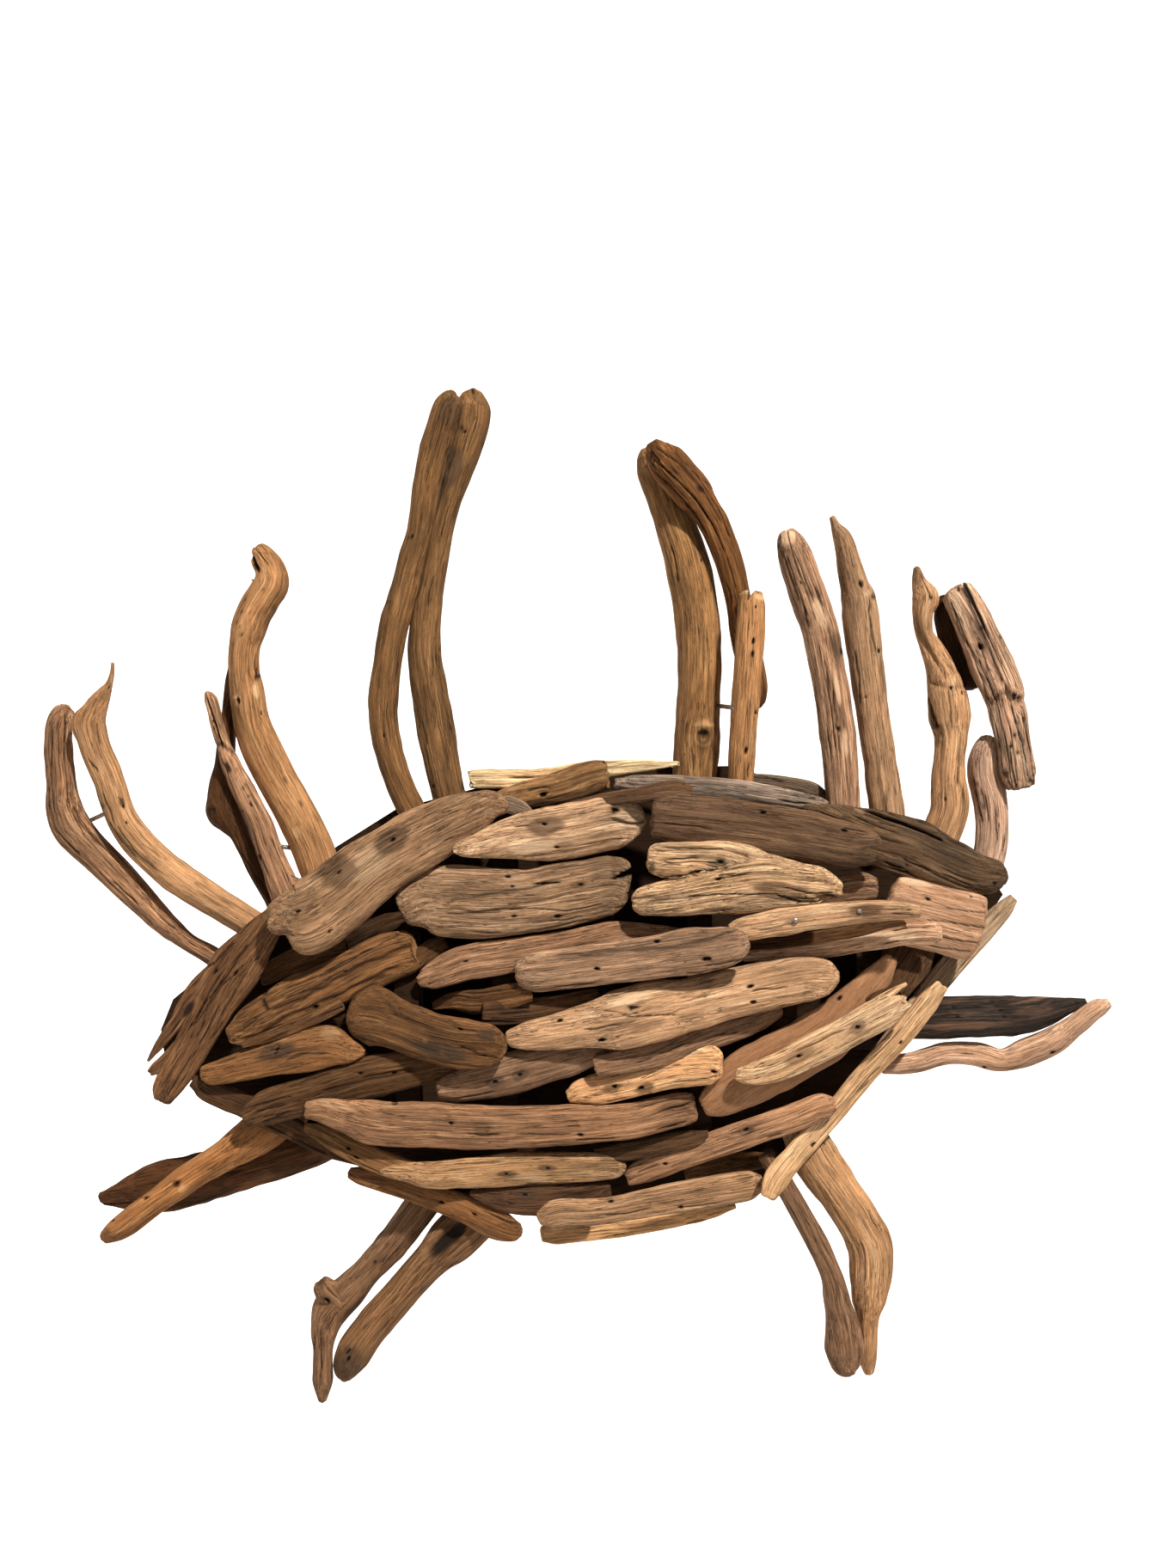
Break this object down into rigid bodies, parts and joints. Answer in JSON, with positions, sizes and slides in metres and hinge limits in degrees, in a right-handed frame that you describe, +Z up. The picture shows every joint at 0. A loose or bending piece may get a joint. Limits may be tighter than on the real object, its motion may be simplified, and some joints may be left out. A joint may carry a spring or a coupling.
{
  "type": "driftwood crab wall hanging",
  "caption": "Crab-shaped wall hanging of weathered driftwood sticks and planks nailed over a flat back panel, with curved limbs fanning out all round.",
  "frame": {"origin": "on the flat back face of the panel, near the middle of the body, where the hanging lies against the wall", "axes": "+Z up as hung, +X to the viewer's right, +Y into the wall, so the crab faces -Y"},
  "size_m": [0.799, 0.0995, 0.7616],
  "materials": {
    "wood_tan": "weathered tan wood, matt, with fine open grain",
    "wood_pale_tan": "pale sun-bleached wood, matt",
    "wood_orange": "warm orange-tan wood, smooth and matt",
    "wood_brown": "mid brown weathered wood with deep grain",
    "wood_grey_brown": "grey-brown weathered wood, coarse grain",
    "wood_pink_tan": "pinkish tan wood, matt and pitted",
    "wood_dark": "dark brown weathered wood",
    "wood_charcoal": "charred black wood with brown streaks",
    "panel_board": "plain dark-stained board"
  },
  "bodies": {
    "root": {"back_panel": "panel_board", "left_leg_back": "wood_dark", "left_leg_front": "wood_orange", "left_foot_outer": "wood_brown", "left_foot_inner": "wood_tan", "right_foot_outer": "wood_orange", "right_foot_inner": "wood_grey_brown", "right_leg_dark": "wood_charcoal", "right_leg_light": "wood_pink_tan", "right_arm_bridge": "wood_dark", "right_arm_inner": "wood_tan", "right_arm_outer": "wood_pink_tan", "right_arm_split": "wood_grey_brown", "right_claw_outer": "wood_tan", "right_claw_inner": "wood_grey_brown", "right_horn_wide": "wood_brown", "right_horn_grooved": "wood_brown", "right_horn_front": "wood_orange", "left_horn_back": "wood_tan", "left_horn_front": "wood_grey_brown", "left_claw_outer": "wood_dark", "left_claw_middle": "wood_pink_tan", "left_claw_inner": "wood_orange", "left_arm_outer": "wood_grey_brown", "left_arm_inner": "wood_orange", "rim_lower_left": "wood_dark", "rim_right_back": "wood_pale_tan", "rim_bottom": "wood_tan", "rim_left_front": "wood_brown", "shell_top_light": "wood_pale_tan", "shell_top_brown": "wood_brown", "shell_top_grey": "wood_grey_brown", "shell_right_dark": "wood_dark", "shell_inner_right": "wood_orange", "shell_left_edge": "wood_brown", "shell_left_ridged": "wood_brown", "shell_left_wide": "wood_tan", "shell_low_left": "wood_brown", "shell_left_point": "wood_tan", "shell_middle_low": "wood_tan", "shell_right_block": "wood_orange", "shell_upper_right": "wood_brown", "shell_upper_left": "wood_tan", "shell_fish": "wood_tan", "shell_right_low_stick": "wood_grey_brown", "shell_two_lobed": "wood_pale_tan", "shell_right_stick": "wood_tan", "shell_middle_split": "wood_tan", "shell_under_middle": "wood_brown", "shell_long": "wood_tan", "shell_lower_stick": "wood_tan", "shell_wide_low": "wood_tan", "shell_short": "wood_pale_tan", "shell_bottom_edge": "wood_brown", "shell_bottom": "wood_tan", "rim_right_front": "wood_pale_tan", "shell_right_splintered": "wood_pale_tan", "shell_lower_right": "wood_pink_tan", "shell_low_middle": "wood_pale_tan", "shell_bone": "wood_tan"}
  },
  "joints": []
}
